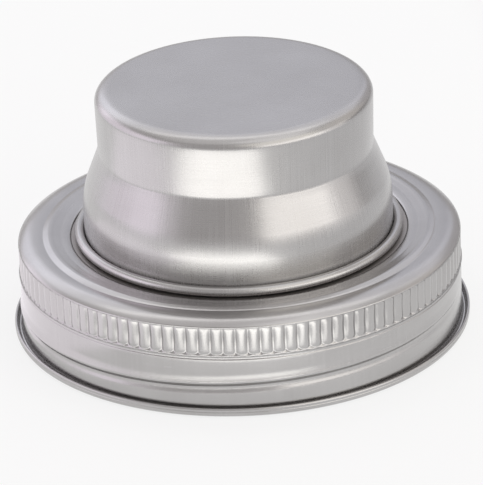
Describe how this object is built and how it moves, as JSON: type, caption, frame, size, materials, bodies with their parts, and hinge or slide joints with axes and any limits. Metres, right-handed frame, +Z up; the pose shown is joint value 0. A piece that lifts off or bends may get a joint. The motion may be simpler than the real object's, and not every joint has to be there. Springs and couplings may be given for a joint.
{
  "type": "mason jar shaker lid",
  "caption": "Stainless lid for a mason jar: fluted screw band with a strainer plate held under its top and a lift-off cap over the opening, for shaking and straining.",
  "frame": {"origin": "centre of the circle that the band's foot stands on", "axes": "+Z up along the lid's axis, towards the cap's top; the lid is round, so X and Y are free, and -Y faces the picture's camera"},
  "size_m": [0.0742, 0.0742, 0.0407],
  "materials": {
    "band_steel": "satin stainless, rolled and pressed",
    "insert_steel": "satin stainless, pierced plate",
    "cap_steel": "satin stainless, drawn cup",
    "seal_rubber": "matt translucent white silicone"
  },
  "bodies": {
    "band": {"screw_band": "band_steel"},
    "insert": {"strainer_insert": "insert_steel", "seal_ring": "seal_rubber"},
    "lift_off_cap": {"cap": "cap_steel"}
  },
  "joints": [
    {"name": "insert_swivel", "type": "hinge", "parent": "band", "child": "insert", "pos_m": [0, 0, 0], "axis": [0, 0, 1], "continuous": true},
    {"name": "cap_lift", "type": "slide", "parent": "insert", "child": "lift_off_cap", "axis": [0, 0, 1], "range_m": [0, 0.03]}
  ]
}
